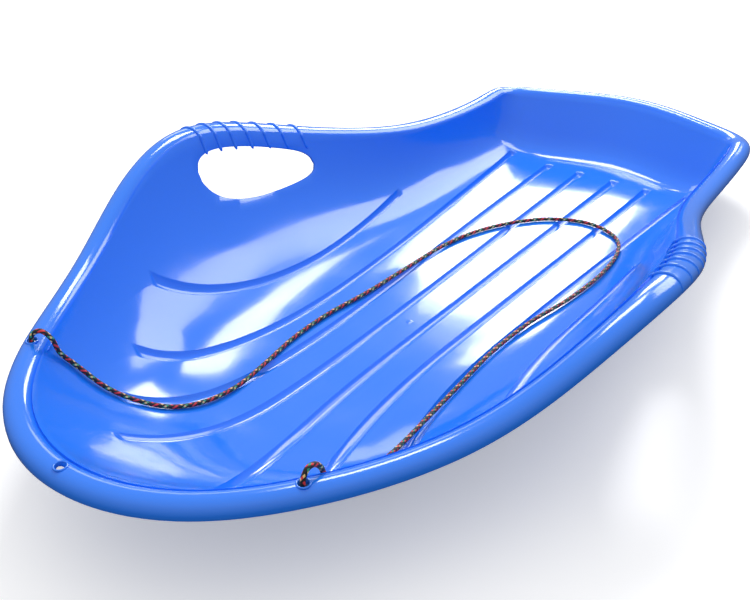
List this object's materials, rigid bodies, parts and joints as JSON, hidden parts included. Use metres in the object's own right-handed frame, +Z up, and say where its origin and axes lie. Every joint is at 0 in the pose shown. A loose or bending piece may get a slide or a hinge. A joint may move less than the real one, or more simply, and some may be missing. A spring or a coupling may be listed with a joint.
{
  "type": "moulded snow sled",
  "caption": "One-piece moulded plastic snow sled with runner channels, a rolled rim, ridged side grips over hand slots, nose holes and a braided tow rope with stopper knots.",
  "frame": {"origin": "under the middle of the sled, at the height of the snow", "axes": "+X towards the nose, +Y to the sled's left, +Z up"},
  "size_m": [0.9003, 0.5406, 0.1581],
  "materials": {
    "blue_plastic": "glossy moulded polyethylene",
    "braided_rope": "tight braided cord with coloured flecks"
  },
  "bodies": {
    "root": {"sled_shell": "blue_plastic", "tow_rope": "braided_rope", "knot_left": "braided_rope", "knot_right": "braided_rope"}
  },
  "joints": []
}
